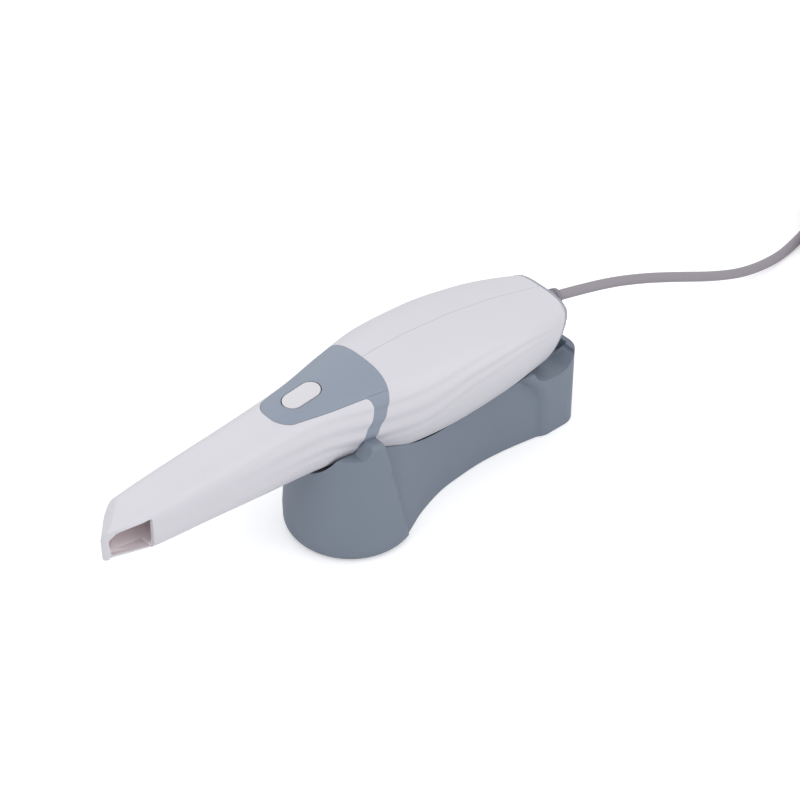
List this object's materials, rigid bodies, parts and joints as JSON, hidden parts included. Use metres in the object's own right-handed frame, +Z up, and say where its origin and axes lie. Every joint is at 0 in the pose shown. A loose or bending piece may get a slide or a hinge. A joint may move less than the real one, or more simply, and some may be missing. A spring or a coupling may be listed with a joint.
{
  "type": "intraoral scanner",
  "caption": "Handheld dental scanner with a slip-on tip, side scan window, top key and tail cable, resting in a waisted desktop stand.",
  "frame": {"origin": "centre of the stand's round front foot, on the surface that it stands on", "axes": "+X to the cable end of the handpiece, +Z up, the scan window faces -Y"},
  "size_m": [0.4964, 0.088, 0.0789],
  "materials": {
    "white_shell": "satin moulded white plastic",
    "collar_grey": "satin blue-grey plastic",
    "key_white": "satin white plastic",
    "stand_grey": "matte blue-grey plastic",
    "rim_grey": "matte grey plastic",
    "gasket_cream": "matte cream elastomer",
    "gland_grey": "matte grey elastomer",
    "cable_grey": "matte warm grey cable jacket",
    "snout_black": "matte black plastic",
    "optic_glass": "clear coated glass",
    "mirror_face": "front-surface mirror",
    "lens_black": "black anodised",
    "bench_alloy": "bead-blasted",
    "board_green": "solder-masked board",
    "switch_metal": "brushed",
    "plate_steel": "powder-coated",
    "weight_iron": "rough cast",
    "pad_rubber": "matte",
    "screw_steel": "zinc plated",
    "plug_black": "satin overmould",
    "plug_metal": "nickel plated"
  },
  "bodies": {
    "base": {"collar": "collar_grey", "tact_switch": "switch_metal", "switch_board": "board_green", "snout": "snout_black", "front_glass": "optic_glass", "shell_near": "white_shell", "shell_far": "white_shell", "rear_gasket": "gasket_cream", "rear_cap": "rim_grey", "cable_gland": "gland_grey", "optical_bench": "bench_alloy", "camera_barrel": "lens_black", "projector_barrel": "lens_black", "sensor_board": "board_green", "projector_board": "board_green", "main_board": "board_green", "heat_spreader": "bench_alloy", "stand_body": "stand_grey", "base_plate": "plate_steel", "stand_ballast": "weight_iron", "foot_pad_front": "pad_rubber", "foot_pad_rear": "pad_rubber", "base_screw_1": "screw_steel", "base_screw_2": "screw_steel", "base_screw_3": "screw_steel", "cable_run": "cable_grey", "cable_coil": "cable_grey", "cable_tail": "cable_grey", "plug_relief": "plug_black", "plug_body": "plug_black", "plug_shell": "plug_metal"},
    "tip": {"tip_sleeve": "white_shell", "tip_mirror": "mirror_face"},
    "button": {"scan_button": "key_white", "button_plunger": "snout_black"}
  },
  "joints": [
    {"name": "tip_slide", "type": "slide", "parent": "base", "child": "tip", "axis": [-0.994, 0, 0.1093], "range_m": [0, 0.074]},
    {"name": "button_press", "type": "slide", "parent": "base", "child": "button", "axis": [0.1041, 0, -0.9946], "range_m": [0, 0.0008], "stiffness_N_per_m": 1500}
  ]
}
